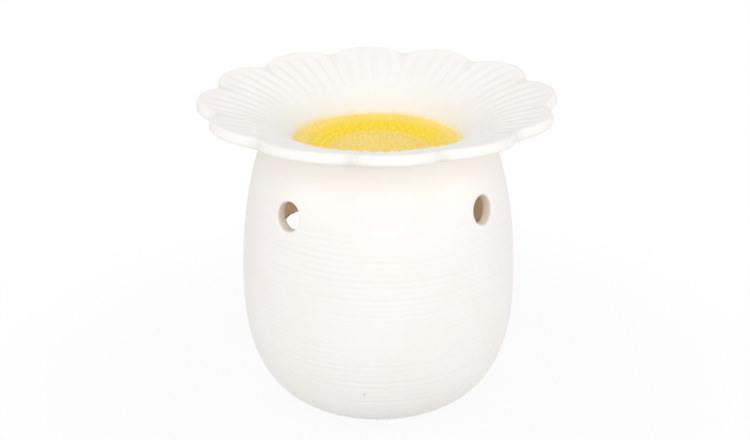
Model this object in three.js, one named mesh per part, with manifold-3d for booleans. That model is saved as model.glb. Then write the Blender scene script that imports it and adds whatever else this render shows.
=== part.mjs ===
// Essential oil burner: a round white pot with two vents at the front and a wide doorway at the
// back, a daisy-shaped dish that sits loose in its neck, and the tealight that burns inside.
// Millimetres, +Z up. The origin is on the axis at the foot, and the front of the pot is -Y.
import * as THREE from 'three';
import { mergeVertices } from 'three/addons/utils/BufferGeometryUtils.js';
import Module from 'manifold-3d';

const wasm = await Module();
wasm.setup();

// Pot
const POT_HEIGHT = 105.5;        // foot to the seat that carries the dish
const BELLY_RADIUS = 51.4;
const BELLY_HEIGHT = 43;         // level of the widest girth
const FOOT_RADIUS = 25.5;
const FOOT_RING = 5.5;           // width of the flat ring that the pot stands on
const FOOT_RECESS = 1.5;
const FOOT_ROLL = 15;            // reach of the flat start of the lower curve
const BELLY_FALL = 29;           // how far the wall stays upright below the girth
const BELLY_RISE = 20.8;         // and above it
const SHOULDER_STEP = 1.25;      // the shoulder past the neck
const SHOULDER_LEAN = new THREE.Vector2(4.24, 13.28);   // lean of the wall as it reaches the shoulder
const NECK_HEIGHT = 10.5;        // shoulder to seat
const NECK_CURVE = 3.9;          // height of the bend from the shoulder into the upright neck
const POT_WALL = 4.2;
const POT_FLOOR = 7;             // top of the floor above the table

// Vents and doorway in the pot
const VENT_DIAMETER = 10.2;
const VENT_DROP = 21.5;          // middle of a vent below the seat
const VENT_ANGLE = 46.3;         // degrees each side of the front
const DOOR_ARC = 96;             // width along the girth
const DOOR_HEIGHT = 49.5;        // above the floor, which is also the sill
const DOOR_TOP_CORNER = 11;
const DOOR_SILL_CORNER = 6;

// Dish
const FLOWER_DIAMETER = 130.4;
const PETALS = 12;
const PETAL_TURN = -1.4;         // degrees, from the front to the middle of the nearest petal
const PETAL_NOTCH = 4.9;         // depth of the notch between two petals
const PETAL_SQUARENESS = 2.4;    // exponents of the petal tip's outline
const PETAL_ROUNDING = 1.15;
const RIBS_PER_PETAL = 5;
const RIB_DEPTH = 0.4;
const LIP_THICKNESS = 4.4;
const LIP_RISE = 9.9;            // middle of the lip at a petal tip above the seat
const LIP_SLOPE = 0.27;          // the lip's fall towards the middle
const DISH_WALL = 4.3;
const COLLAR_OVERHANG = 0.8;     // the dish's seat past the neck
const COLLAR_SWEEP = new THREE.Vector2(1.5, 2.5);  // start of the underside's curve
const UNDERSIDE_RUN = 0.45;      // straight share of the underside's run into the lip
const BOWL_RADIUS = 30.5;        // edge of the yellow glaze
const BOWL_EDGE_DROP = 5.5;      // that edge below the seat
const BOWL_DROP = 10.7;          // bowl floor below the seat
const BOWL_SIDE = 8.5;           // width of the sloping side round the bowl floor
const BOWL_SHOULDER = 7.9;       // clay between the bowl's edge and the spigot
const BOWL_FLARE = new THREE.Vector2(4, 8.5);      // start of the petals' curve out of the bowl
const PETAL_RUN = 0.47;          // straight share of a petal's run into the lip
const SPIGOT_LAND = 2;
const SPIGOT_CLEARANCE = 0.6;

// Yellow glaze in the bowl
const GLAZE_EDGE = 0.8;          // thickness at its rim
const GLAZE_DEPTH = 1.8;         // over the bowl floor
const DISC_RADIUS = 16;          // raised middle
const DISC_RISE = 0.7;

// Tealight
const CUP_DIAMETER = 38.4;
const CUP_HEIGHT = 16;
const CUP_WALL = 0.5;
const WAX_DROP = 2.5;            // wax below the cup's rim
const WICK_DIAMETER = 1.8;
const WICK_PROUD = 6;            // wick above the wax
const SUSTAINER_DIAMETER = 14;
const SUSTAINER_THICKNESS = 0.5;
const CRIMP_WALL = 0.8;
const CRIMP_HEIGHT = 6;

const FIT = 0.3;                 // gap between pieces that touch
const CUTTER_REACH = 1.2;        // how far a cut goes past the girth, as a share of it

// Facets round the axis, and steps along the curves
const POT_FACETS = 72;
const CUP_FACETS = 48;
const VENT_FACETS = 24;
const SUSTAINER_FACETS = 24;
const WICK_FACETS = 12;
const RIB_FACETS = 2;
const CORNER_STEPS = 8;
const OUTER_STEPS = 9;
const INNER_STEPS = 5;
const NECK_STEPS = 3;
const UNDER_STEPS = 3;
const LIP_STEPS = 5;
const PETAL_STEPS = 6;
const POOL_STEPS = 5;

// Sizes that follow from the ones above
const spigotRadius = BOWL_RADIUS + BOWL_SHOULDER;
const boreRadius = spigotRadius + SPIGOT_CLEARANCE;
const neckRadius = boreRadius + POT_WALL;
const seatHeight = POT_HEIGHT;
const bowlFloorHeight = seatHeight - BOWL_DROP;
const bowlEdgeHeight = seatHeight - BOWL_EDGE_DROP;
const bowlFloorRadius = BOWL_RADIUS - BOWL_SIDE;
const cupFloorHeight = POT_FLOOR + CUP_WALL;
const waxHeight = POT_FLOOR + CUP_HEIGHT - WAX_DROP;
const crimpHeight = cupFloorHeight + CRIMP_HEIGHT;
const wickRadius = WICK_DIAMETER / 2;
const crimpRadius = wickRadius + FIT + CRIMP_WALL;

const point = (radius, height) => new THREE.Vector2(radius, height);

// Merges shared vertices and drops the triangles that collapse on the axis.
function welded(geometry) {
  geometry.deleteAttribute('normal');
  geometry.deleteAttribute('uv');
  const merged = mergeVertices(geometry);
  const corners = merged.index.array;
  const kept = [];
  for (let i = 0; i < corners.length; i += 3) {
    const [a, b, c] = corners.slice(i, i + 3);
    if (a !== b && b !== c && c !== a) kept.push(a, b, c);
  }
  merged.setIndex(kept);
  return merged;
}

// A solid turned about Z. Its profile runs anticlockwise in (radius, height).
function turned(profile, facets) {
  const geometry = new THREE.LatheGeometry(profile, facets);
  geometry.rotateX(Math.PI / 2);
  return welded(geometry);
}

function asSolid(geometry) {
  return new wasm.Manifold(new wasm.Mesh({
    numProp: 3,
    vertProperties: new Float32Array(geometry.attributes.position.array),
    triVerts: new Uint32Array(geometry.index.array),
  }));
}

function asGeometry(solid) {
  const mesh = solid.getMesh();
  const geometry = new THREE.BufferGeometry();
  geometry.setAttribute('position', new THREE.BufferAttribute(mesh.vertProperties, 3));
  geometry.setIndex(new THREE.BufferAttribute(mesh.triVerts, 1));
  return geometry;
}

function piece(name, geometry, material) {
  geometry.computeVertexNormals();
  const mesh = new THREE.Mesh(geometry, material);
  mesh.name = name;
  return mesh;
}

// Pot: a curve up to the girth, one over the shoulder and one into the neck, with the inside at an
// even wall from them.
function potProfile() {
  const shoulder = point(neckRadius + SHOULDER_STEP, seatHeight - NECK_HEIGHT);
  const lower = new THREE.CubicBezierCurve(
    point(FOOT_RADIUS, 0),
    point(FOOT_RADIUS + FOOT_ROLL, 0),
    point(BELLY_RADIUS, BELLY_HEIGHT - BELLY_FALL),
    point(BELLY_RADIUS, BELLY_HEIGHT),
  );
  const upper = new THREE.CubicBezierCurve(
    point(BELLY_RADIUS, BELLY_HEIGHT),
    point(BELLY_RADIUS, BELLY_HEIGHT + BELLY_RISE),
    point(shoulder.x + SHOULDER_LEAN.x, shoulder.y - SHOULDER_LEAN.y),
    shoulder,
  );
  const neck = new THREE.QuadraticBezierCurve(
    shoulder,
    point(neckRadius, shoulder.y + NECK_CURVE),
    point(neckRadius, seatHeight),
  );
  const inside = (curve, t) => {
    const along = curve.getTangent(t);
    return curve.getPoint(t).add(point(-along.y, along.x).multiplyScalar(POT_WALL));
  };
  const insidePoints = (curve, start, steps) => Array.from(
    { length: steps },
    (_, i) => inside(curve, start + (1 - start) * i / steps),
  );

  // The inside of the lower curve starts where it comes up through the floor.
  let under = 0;
  let over = 1;
  while (over - under > 1e-6) {
    const middle = (under + over) / 2;
    if (inside(lower, middle).y < POT_FLOOR) under = middle;
    else over = middle;
  }
  const inner = [
    point(0, POT_FLOOR),
    point(inside(lower, over).x, POT_FLOOR),
    ...insidePoints(lower, over, INNER_STEPS).slice(1),
    ...insidePoints(upper, 0, INNER_STEPS),
    ...insidePoints(neck, 0, NECK_STEPS),
    point(boreRadius, seatHeight),
  ];
  return [
    point(0, FOOT_RECESS),
    point(FOOT_RADIUS - FOOT_RING - FOOT_RECESS, FOOT_RECESS),
    point(FOOT_RADIUS - FOOT_RING, 0),
    ...lower.getPoints(OUTER_STEPS),
    ...upper.getPoints(OUTER_STEPS).slice(1),
    ...neck.getPoints(NECK_STEPS).slice(1),
    ...inner.reverse(),
  ];
}

// A round vent, bored level towards the axis.
function ventCutter(angle) {
  const radius = VENT_DIAMETER / 2;
  const length = BELLY_RADIUS;
  const cutter = new THREE.CylinderGeometry(radius, radius, length, VENT_FACETS);
  cutter.translate(0, -length, seatHeight - VENT_DROP);
  cutter.rotateZ(angle);
  return asSolid(welded(cutter));
}

// The doorway: an outline drawn along the girth, then cut straight towards the axis. The cutter's
// flat ends stay clear of the wall, one inside the pot and one past it.
function doorCutter() {
  const half = DOOR_ARC / 2;
  const sill = POT_FLOOR;
  const top = sill + DOOR_HEIGHT;
  const near = BELLY_RADIUS / 2;
  const far = CUTTER_REACH * BELLY_RADIUS / Math.cos(half / BELLY_RADIUS);
  const outline = new THREE.Shape();
  const corner = (side, height, radius, start) => {
    outline.absarc(side * (half - radius), height, radius, start, start + Math.PI / 2);
  };
  corner(1, top - DOOR_TOP_CORNER, DOOR_TOP_CORNER, 0);
  corner(-1, top - DOOR_TOP_CORNER, DOOR_TOP_CORNER, Math.PI / 2);
  corner(-1, sill + DOOR_SILL_CORNER, DOOR_SILL_CORNER, Math.PI);
  corner(1, sill + DOOR_SILL_CORNER, DOOR_SILL_CORNER, 1.5 * Math.PI);
  const cutter = new THREE.ExtrudeGeometry(
    outline,
    { depth: 1, bevelEnabled: false, curveSegments: CORNER_STEPS },
  );
  const position = cutter.attributes.position;
  for (let i = 0; i < position.count; i++) {
    const turn = position.getX(i) / BELLY_RADIUS;
    const reach = THREE.MathUtils.lerp(near, far, position.getZ(i));
    position.setXYZ(i, -reach * Math.sin(turn), reach * Math.cos(turn), position.getY(i));
  }
  return asSolid(welded(cutter));
}

function burnerBody() {
  const vent = THREE.MathUtils.degToRad(VENT_ANGLE);
  return asGeometry(
    asSolid(turned(potProfile(), POT_FACETS))
      .subtract(ventCutter(vent))
      .subtract(ventCutter(-vent))
      .subtract(doorCutter()),
  );
}

// How far a petal reaches at u, from -1 at one notch to 1 at the next: 0 at a notch, 1 at the tip.
function petalReach(u) {
  return (1 - Math.abs(u) ** PETAL_SQUARENESS) ** PETAL_ROUNDING;
}

// The dish's section at u across a petal, from the axis underneath, round the lip, to the axis on top.
function dishSection(u) {
  const lip = LIP_THICKNESS / 2;
  const tilt = Math.atan(LIP_SLOPE);
  const along = point(Math.cos(tilt), Math.sin(tilt));
  const inset = PETAL_NOTCH * (1 - petalReach(u));
  const middle = point(
    FLOWER_DIAMETER / 2 - lip - inset,
    seatHeight + LIP_RISE - LIP_SLOPE * inset,
  );
  const lipPoint = (turn) => middle.clone().add(
    point(Math.cos(turn + tilt), Math.sin(turn + tilt)).multiplyScalar(lip),
  );
  const lipLow = lipPoint(-Math.PI / 2);
  const lipHigh = lipPoint(Math.PI / 2);

  const bowlUnder = new THREE.QuadraticBezierCurve(
    point(bowlFloorRadius, bowlFloorHeight - DISH_WALL),
    point((BOWL_RADIUS + spigotRadius) / 2, bowlFloorHeight - DISH_WALL),
    point(spigotRadius, seatHeight - SPIGOT_LAND),
  );
  const collar = point(neckRadius + COLLAR_OVERHANG, seatHeight);
  const underside = new THREE.CubicBezierCurve(
    collar,
    collar.clone().add(COLLAR_SWEEP),
    lipLow.clone().addScaledVector(along, UNDERSIDE_RUN * (collar.x - lipLow.x)),
    lipLow,
  );
  const lipArc = [];
  for (let i = 1; i < LIP_STEPS; i++) {
    lipArc.push(lipPoint(Math.PI * (i / LIP_STEPS - 0.5)));
  }
  const bowlEdge = point(BOWL_RADIUS, bowlEdgeHeight);
  const petal = new THREE.CubicBezierCurve(
    lipHigh,
    lipHigh.clone().addScaledVector(along, PETAL_RUN * (BOWL_RADIUS - lipHigh.x)),
    bowlEdge.clone().add(BOWL_FLARE),
    bowlEdge,
  );
  const ribbed = petal.getPoints(PETAL_STEPS);
  const groove = RIB_DEPTH * (1 + Math.cos(Math.PI * RIBS_PER_PETAL * (u + 1))) / 2;
  ribbed.forEach((p, i) => {
    p.y -= groove * (1 - i / PETAL_STEPS);
  });
  return [
    point(0, bowlFloorHeight - DISH_WALL),
    ...bowlUnder.getPoints(UNDER_STEPS),
    point(spigotRadius, seatHeight),
    ...underside.getPoints(UNDER_STEPS),
    ...lipArc,
    ...ribbed,
    point(BOWL_RADIUS, bowlEdgeHeight - GLAZE_EDGE),
    point(bowlFloorRadius, bowlFloorHeight),
    point(0, bowlFloorHeight),
  ];
}

// The dish: one section for each step round the flower, from a notch beside the front petal.
function flowerDish() {
  const stepsPerPetal = RIBS_PER_PETAL * RIB_FACETS;
  const columns = PETALS * stepsPerPetal;
  const front = THREE.MathUtils.degToRad(PETAL_TURN) - Math.PI / 2;
  const corners = [];
  const faces = [];
  let rows = 0;
  for (let i = 0; i < columns; i++) {
    const turn = front + 2 * Math.PI * (i - stepsPerPetal / 2) / columns;
    const section = dishSection(2 * (i % stepsPerPetal) / stepsPerPetal - 1);
    rows = section.length;
    for (const p of section) {
      corners.push(p.x * Math.cos(turn), p.x * Math.sin(turn), p.y);
    }
  }
  for (let i = 0; i < columns; i++) {
    const here = i * rows;
    const next = ((i + 1) % columns) * rows;
    for (let j = 0; j < rows - 1; j++) {
      faces.push(here + j, next + j, here + j + 1);
      faces.push(next + j, next + j + 1, here + j + 1);
    }
  }
  const geometry = new THREE.BufferGeometry();
  geometry.setAttribute('position', new THREE.Float32BufferAttribute(corners, 3));
  geometry.setIndex(faces);
  return welded(geometry);
}

// The glaze fills the bowl: a dished pool with a low raised disc in its middle.
function centreGlaze() {
  const edge = BOWL_RADIUS - FIT;
  const poolHeight = bowlFloorHeight + GLAZE_DEPTH;
  const pool = new THREE.QuadraticBezierCurve(
    point(edge, bowlEdgeHeight),
    point(bowlFloorRadius, poolHeight),
    point(DISC_RADIUS, poolHeight),
  );
  return turned([
    point(0, bowlFloorHeight),
    point(bowlFloorRadius - FIT, bowlFloorHeight),
    point(edge, bowlEdgeHeight - GLAZE_EDGE),
    ...pool.getPoints(POOL_STEPS),
    point(DISC_RADIUS - DISC_RISE, poolHeight + DISC_RISE),
    point(0, poolHeight + DISC_RISE),
  ], CUP_FACETS);
}

// Tealight cup: a drawn shell with a flat floor.
function tealightCup() {
  const outer = CUP_DIAMETER / 2;
  const rim = POT_FLOOR + CUP_HEIGHT;
  return turned([
    point(0, POT_FLOOR),
    point(outer - CUP_WALL, POT_FLOOR),
    point(outer, POT_FLOOR + CUP_WALL),
    point(outer, rim),
    point(outer - CUP_WALL, rim),
    point(outer - CUP_WALL, cupFloorHeight),
    point(0, cupFloorHeight),
  ], CUP_FACETS);
}

// Wax: fills the cup round the sustainer, with a bore for the wick.
function tealightWax() {
  const outer = CUP_DIAMETER / 2 - CUP_WALL - FIT;
  const discPocket = SUSTAINER_DIAMETER / 2 + FIT;
  const discRoof = cupFloorHeight + SUSTAINER_THICKNESS + FIT;
  const crimpPocket = crimpRadius + FIT;
  const crimpRoof = crimpHeight + FIT;
  const wickBore = wickRadius + FIT;
  return turned([
    point(discPocket, cupFloorHeight),
    point(outer, cupFloorHeight),
    point(outer, waxHeight),
    point(wickBore, waxHeight),
    point(wickBore, crimpRoof),
    point(crimpPocket, crimpRoof),
    point(crimpPocket, discRoof),
    point(discPocket, discRoof),
    point(discPocket, cupFloorHeight),
  ], CUP_FACETS);
}

// Sustainer: a tinplate disc on the cup's floor, drawn up into a neck round the wick.
function wickSustainer() {
  const bore = wickRadius + FIT;
  const discTop = cupFloorHeight + SUSTAINER_THICKNESS;
  return turned([
    point(bore, cupFloorHeight),
    point(SUSTAINER_DIAMETER / 2, cupFloorHeight),
    point(SUSTAINER_DIAMETER / 2, discTop),
    point(crimpRadius, discTop),
    point(crimpRadius, crimpHeight),
    point(bore, crimpHeight),
    point(bore, cupFloorHeight),
  ], SUSTAINER_FACETS);
}

function wick() {
  return turned([
    point(0, cupFloorHeight),
    point(wickRadius, cupFloorHeight),
    point(wickRadius, waxHeight + WICK_PROUD),
    point(0, waxHeight + WICK_PROUD),
  ], WICK_FACETS);
}

const whiteGlaze = new THREE.MeshStandardMaterial({ color: 0xf6f3ea, roughness: 0.45, metalness: 0 });
const yellowGlaze = new THREE.MeshStandardMaterial({ color: 0xf9d668, roughness: 0.2, metalness: 0 });
const aluminium = new THREE.MeshStandardMaterial({ color: 0xc9cbcd, roughness: 0.3, metalness: 1 });
const paraffin = new THREE.MeshStandardMaterial({ color: 0xf4f1e6, roughness: 0.5, metalness: 0 });
const cotton = new THREE.MeshStandardMaterial({ color: 0xece4d2, roughness: 0.9, metalness: 0 });
const tinplate = new THREE.MeshStandardMaterial({ color: 0xb4b6b8, roughness: 0.35, metalness: 1 });

const pot = new THREE.Group();
pot.add(piece('burner_body', burnerBody(), whiteGlaze));

const dish = new THREE.Group();
dish.add(piece('flower_dish', flowerDish(), whiteGlaze));
dish.add(piece('centre_glaze', centreGlaze(), yellowGlaze));

const tealight = new THREE.Group();
tealight.add(piece('tealight_cup', tealightCup(), aluminium));
tealight.add(piece('tealight_wax', tealightWax(), paraffin));
tealight.add(piece('wick_sustainer', wickSustainer(), tinplate));
tealight.add(piece('wick', wick(), cotton));

const burner = new THREE.Group();
burner.add(pot, dish, tealight);

export default burner;
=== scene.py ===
import math

import bmesh
import bpy
import numpy as np
from mathutils import Color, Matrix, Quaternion, Vector


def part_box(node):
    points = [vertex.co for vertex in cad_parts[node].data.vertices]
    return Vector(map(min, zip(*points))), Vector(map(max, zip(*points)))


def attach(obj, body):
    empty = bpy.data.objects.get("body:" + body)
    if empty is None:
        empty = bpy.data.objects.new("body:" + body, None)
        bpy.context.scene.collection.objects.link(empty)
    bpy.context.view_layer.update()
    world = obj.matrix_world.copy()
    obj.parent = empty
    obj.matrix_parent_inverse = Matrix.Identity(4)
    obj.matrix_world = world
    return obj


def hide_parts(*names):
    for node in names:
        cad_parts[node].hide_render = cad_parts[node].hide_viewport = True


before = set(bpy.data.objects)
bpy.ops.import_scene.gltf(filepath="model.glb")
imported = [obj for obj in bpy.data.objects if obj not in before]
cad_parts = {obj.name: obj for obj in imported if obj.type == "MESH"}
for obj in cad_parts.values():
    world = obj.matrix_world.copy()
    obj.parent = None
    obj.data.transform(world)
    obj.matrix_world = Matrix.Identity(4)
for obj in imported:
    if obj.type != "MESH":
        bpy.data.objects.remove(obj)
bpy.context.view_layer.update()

# Pot. A pot thrown in cream stoneware, with fine throwing rings and a satin white glaze on its outside
# only, its colour tinted warmer towards the neck, under the dish's lip. Two round vents are bored through
# the shoulder and a wide doorway is cut at the back. Their edges are sponged round, and the glaze thins
# out there to the bare clay.
MM = 0.001
SEAT_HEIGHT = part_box("burner_body")[1].z
BELLY_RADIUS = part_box("burner_body")[1].x
BELLY_HEIGHT = 43 * MM
BELLY_FALL = 29 * MM
BELLY_RISE = 20.8 * MM
FOOT_RADIUS = 25.5 * MM
FOOT_RING = 5.5 * MM
FOOT_RECESS = 1.5 * MM
FOOT_ROLL = 15 * MM
NECK_RADIUS = 43.2 * MM
NECK_HEIGHT = 10.5 * MM
NECK_CURVE = 3.9 * MM
SHOULDER_STEP = 1.25 * MM
SHOULDER_LEAN = np.array([4.24, -13.28]) * MM
POT_WALL = 4.2 * MM
POT_FLOOR = 7 * MM
FLOOR_CURVE = 5 * MM

RING_PITCH = 2.1 * MM
RING_DEPTH = 0.19 * MM
RING_WANDER = 0.45
WANDER_LENGTH = 7.3 * MM
RING_LEAN = 0.2
LEAN_LENGTH = 8.1 * MM
RINGS_START = (4 * MM, 10 * MM)
RINGS_END = (SEAT_HEIGHT - 29 * MM, SEAT_HEIGHT - 9 * MM)

POT_COLUMNS = 216
CURVE_STEPS = 200
NECK_STEPS = 80
FLOOR_CURVE_STEPS = 8
RING_ROWS = 0.34 * MM
PLAIN_ROWS = 1.2 * MM
EDGE_ROWS = 0.4 * MM
FOOT_ROWS = 2 * MM
FLOOR_ROWS = 3 * MM
WELD = 0.0005 * MM
SHARP_EDGE = math.radians(40)

VENT_RADIUS = 5.1 * MM
VENT_HEIGHT = SEAT_HEIGHT - 21.5 * MM
VENT_TURN = math.radians(46.3)
VENT_ROWS = 0.5 * MM
DOOR_ARC = 96 * MM
DOOR_TOP = POT_FLOOR + 49.5 * MM
DOOR_TOP_CORNER = 11 * MM
DOOR_SILL_CORNER = 6 * MM
DOOR_ROWS = 1.2 * MM
CORNER_POINTS = 24
EDGE_ROUNDING = 1.0 * MM
INNER_ROUNDING = 1.0
SILL_ROUNDING = -0.35
FLARE_TURN = 68
FLARE_ROWS = 7
CUTTER_CLEAR = 0.6 * MM
VENT_REACH = 6 * MM
DOOR_REACH_OUT = 60 * MM
DOOR_REACH_IN = 1 * MM

IVORY = (251, 248, 245)
WARM_IVORY = (248, 244, 237)
NECK_TINT = (252, 240, 221)
CLAY = (249, 233, 212)
DARK_CLAY = (244, 224, 199)
IRON_SPECK = (150, 122, 96)
GLAZE_REACH = (0.4 * MM, 2.6 * MM)
NECK_TINT_SPAN = (SEAT_HEIGHT - 22 * MM, SEAT_HEIGHT - 2 * MM)
PINHOLE = Vector((-9.2, -47.8, 21.0)) * MM
PINHOLE_EDGE = (0.15 * MM, 0.6 * MM)
CLOUD_SCALE = 45
SAND_SCALE = 900
GLAZE_SKIN_SCALE = 750
GLAZE_SKIN_RELIEF = 0.02 * MM


def bezier(points, steps):
    """Points along a Bezier curve. Its control points may be single points or one for each column."""
    layers = [point[None] for point in np.broadcast_arrays(*[np.asarray(p, float) for p in points])]
    share = np.linspace(0, 1, steps + 1).reshape(-1, *[1] * layers[0][0].ndim)
    while len(layers) > 1:
        layers = [start + (end - start) * share for start, end in zip(layers, layers[1:])]
    return layers[0]


def evenly(path, spacing):
    """The same path with its points an even distance apart."""
    runs = np.linalg.norm(np.diff(path[:, :2], axis=0), axis=1)
    along = np.concatenate([[0], np.cumsum(runs)])
    stops = np.linspace(0, along[-1], max(2, round(along[-1] / spacing) + 1))
    return np.column_stack([np.interp(stops, along, values) for values in path.T])


def straight(start, end, spacing):
    """A straight run of rows from one corner to another."""
    return evenly(np.array([start, end], float), spacing)


def outward(path):
    """The directions square to a profile that runs up the outside of a piece."""
    along = np.gradient(path, axis=0)
    along /= np.linalg.norm(along, axis=1)[:, None]
    return np.column_stack([along[:, 1], -along[:, 0]])


shoulder = np.array([NECK_RADIUS + SHOULDER_STEP, SEAT_HEIGHT - NECK_HEIGHT])
pot_curve = np.concatenate([
    bezier([
        (FOOT_RADIUS, 0),
        (FOOT_RADIUS + FOOT_ROLL, 0),
        (BELLY_RADIUS, BELLY_HEIGHT - BELLY_FALL),
        (BELLY_RADIUS, BELLY_HEIGHT),
    ], CURVE_STEPS),
    bezier([
        (BELLY_RADIUS, BELLY_HEIGHT),
        (BELLY_RADIUS, BELLY_HEIGHT + BELLY_RISE),
        shoulder + SHOULDER_LEAN,
        shoulder,
    ], CURVE_STEPS)[1:],
    bezier([
        shoulder,
        (NECK_RADIUS, shoulder[1] + NECK_CURVE),
        (NECK_RADIUS, SEAT_HEIGHT),
    ], NECK_STEPS)[1:],
])
outside = evenly(pot_curve, RING_ROWS)
inside = evenly(pot_curve, PLAIN_ROWS)
inside = inside - POT_WALL * outward(inside)
inner_wall = inside[inside[:, 1] > POT_FLOOR + FLOOR_CURVE]
floor_edge = np.interp(POT_FLOOR, inside[:, 1], inside[:, 0])
floor_corner = bezier([
    inner_wall[0],
    (floor_edge, POT_FLOOR),
    (floor_edge - FLOOR_CURVE, POT_FLOOR),
], FLOOR_CURVE_STEPS)

foot_edge = FOOT_RADIUS - FOOT_RING
foot = np.concatenate([
    straight((0, FOOT_RECESS), (foot_edge - FOOT_RECESS, FOOT_RECESS), FOOT_ROWS),
    straight((foot_edge - FOOT_RECESS, FOOT_RECESS), (foot_edge, 0), EDGE_ROWS)[1:],
    straight((foot_edge, 0), (FOOT_RADIUS, 0), EDGE_ROWS)[1:-1],
])
rim = straight((NECK_RADIUS, SEAT_HEIGHT), (NECK_RADIUS - POT_WALL, SEAT_HEIGHT), EDGE_ROWS)[1:]
inner = np.concatenate([
    inner_wall[::-1],
    floor_corner[1:],
    straight(floor_corner[-1], (0, POT_FLOOR), FLOOR_ROWS)[1:],
])


def full_turn(columns):
    """The angles of columns that stand evenly round the axis."""
    return np.linspace(0, 2 * np.pi, columns, endpoint=False)


def every_column(path, columns):
    """The same profile in every column round the axis."""
    return np.broadcast_to(path[:, None], (len(path), columns, 2))


def throwing_rings(height, turn):
    """How deep the grooves between the throwing rings are, from 0 on a ring to 1 in the deepest groove.
    No two are alike, each one comes and goes on its way round, and they smooth out towards the neck."""
    wander = RING_WANDER * np.sin(height / WANDER_LENGTH)
    lean = RING_LEAN * np.sin(turn + height / LEAN_LENGTH)
    phase = height / RING_PITCH + wander + lean
    groove = np.floor(phase)
    depth = 0.35 + 0.65 * np.sin(4.1 * groove) ** 2
    swell = 0.65 + 0.35 * np.sin((1 + groove % 3) * turn + 2.4 * groove)
    share = np.interp(height, RINGS_START, (0, 1)) * np.interp(height, RINGS_END, (1, 0))
    return share * depth * swell * np.sin(np.pi * (phase - groove)) ** 4


def softened(path, passes):
    """The same rows with their corners rounded, as glaze rounds them."""
    for _ in range(passes):
        path[1:-1] = (path[:-2] + 2 * path[1:-1] + path[2:]) / 4
    return path


def around(profile, turn):
    """Swings a profile of (radius, height) to each angle, which gives one loop of points for each row."""
    radius, height = profile[..., 0], profile[..., 1]
    return np.stack([radius * np.cos(turn), radius * np.sin(turn), height + 0 * turn], axis=-1)


def mark(mesh, label, numbers):
    """Gives each point of a mesh a named value, for its material."""
    layer = mesh.attributes.new(label, "FLOAT", "POINT")
    layer.data.foreach_set("value", np.ravel(numbers).astype(np.float32))


def skinned(name, grids, marks=None):
    """A closed, smooth piece over grids of points, where each row is a loop. Its marks are named
    values, one for each point."""
    corners, faces = [], []
    for grid in grids:
        rows, columns = grid.shape[:2]
        index = np.arange(rows * columns).reshape(rows, columns) + sum(map(len, corners))
        below, above = index[:-1], index[1:]
        quads = [below, np.roll(below, -1, axis=1), np.roll(above, -1, axis=1), above]
        corners.append(grid.reshape(-1, 3))
        faces.append(np.stack(quads, axis=-1).reshape(-1, 4))
    mesh = bpy.data.meshes.new(name)
    mesh.from_pydata(np.concatenate(corners).tolist(), [], np.concatenate(faces).tolist())
    for label, numbers in (marks or {}).items():
        mark(mesh, label, numbers)
    body = bmesh.new()
    body.from_mesh(mesh)
    bmesh.ops.remove_doubles(body, verts=body.verts, dist=WELD)
    bmesh.ops.recalc_face_normals(body, faces=body.faces)
    body.to_mesh(mesh)
    body.free()
    mesh.shade_smooth()
    mesh.set_sharp_from_angle(angle=SHARP_EDGE)
    piece = bpy.data.objects.new(name, mesh)
    bpy.context.scene.collection.objects.link(piece)
    return piece


pot_turn = full_turn(POT_COLUMNS)
grooves = throwing_rings(outside[:, 1, None], pot_turn)
ringed = outside[:, None] - RING_DEPTH * grooves[..., None] * outward(outside)[:, None]
pot_profile = softened(np.concatenate([
    every_column(foot, POT_COLUMNS),
    ringed,
    every_column(rim, POT_COLUMNS),
    every_column(inner, POT_COLUMNS),
]), 2)
pooled = np.zeros(pot_profile.shape[:2])
pooled[len(foot):len(foot) + len(outside)] = grooves
pot = skinned("glazed_pot", [around(pot_profile, pot_turn)], {"pooled": pooled})


def rounded_outline(half, low, high, low_corner, high_corner, spacing):
    """A rectangle with round corners as (across, height) and the direction out of it, anticlockwise."""
    corners = [
        (half - high_corner, high - high_corner, high_corner, 0),
        (high_corner - half, high - high_corner, high_corner, 90),
        (low_corner - half, low + low_corner, low_corner, 180),
        (half - low_corner, low + low_corner, low_corner, 270),
    ]
    runs = []
    for across, height, radius, start in corners:
        turn = np.radians(start + np.linspace(0, 90, CORNER_POINTS))
        out = np.column_stack([np.cos(turn), np.sin(turn)])
        runs.append(np.column_stack([out * radius + (across, height), out]))
    loop = np.concatenate([*runs, runs[0][:1]])
    return evenly(loop, spacing)[:-1]


def capped(grid):
    """The same loops closed to a point in the middle of the first and of the last one."""
    ends = [np.broadcast_to(row.mean(axis=0), row.shape)[None] for row in (grid[0], grid[-1])]
    return np.concatenate([ends[0], grid, ends[1]])


def hole_cutter(outline, place, inner_rounding, reach_out, reach_in):
    """A plug in the shape of a hole. It flares at the wall's two faces, so that the hole it leaves
    has round edges. place(across, height, share, depth) gives a point through the wall: share is 0
    at the outer face and 1 at the inner one, and depth goes on from there towards the axis."""
    turn = np.radians(np.linspace(FLARE_TURN, 0, FLARE_ROWS))
    flare = EDGE_ROUNDING * (1 - np.cos(turn))
    drop = EDGE_ROUNDING * (1 - np.sin(turn))
    mouth = flare[0] + (CUTTER_CLEAR + drop[0]) * math.tan(turn[0])
    edge = list(zip(drop, flare))
    rings = [(0, -depth, mouth) for depth in (reach_out, CUTTER_CLEAR)]
    rings += [(0, depth, offset) for depth, offset in edge]
    rings += [(1, -depth, offset * inner_rounding) for depth, offset in reversed(edge)]
    rings += [(1, depth, mouth * inner_rounding) for depth in (CUTTER_CLEAR, reach_in)]
    across, height, out_across, out_height = outline.T
    grid = np.array([
        place(across + out_across * offset, height + out_height * offset, share, depth)
        for share, depth, offset in rings
    ])
    return skinned("cutter", [capped(grid)])


def wall_radius(height, share):
    """The wall's radius at a height, from its outer face at share 0 to its inner one at 1."""
    outer = np.interp(height, outside[:, 1], outside[:, 0])
    return outer + share * (np.interp(height, inside[:, 1], inside[:, 0]) - outer)


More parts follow.
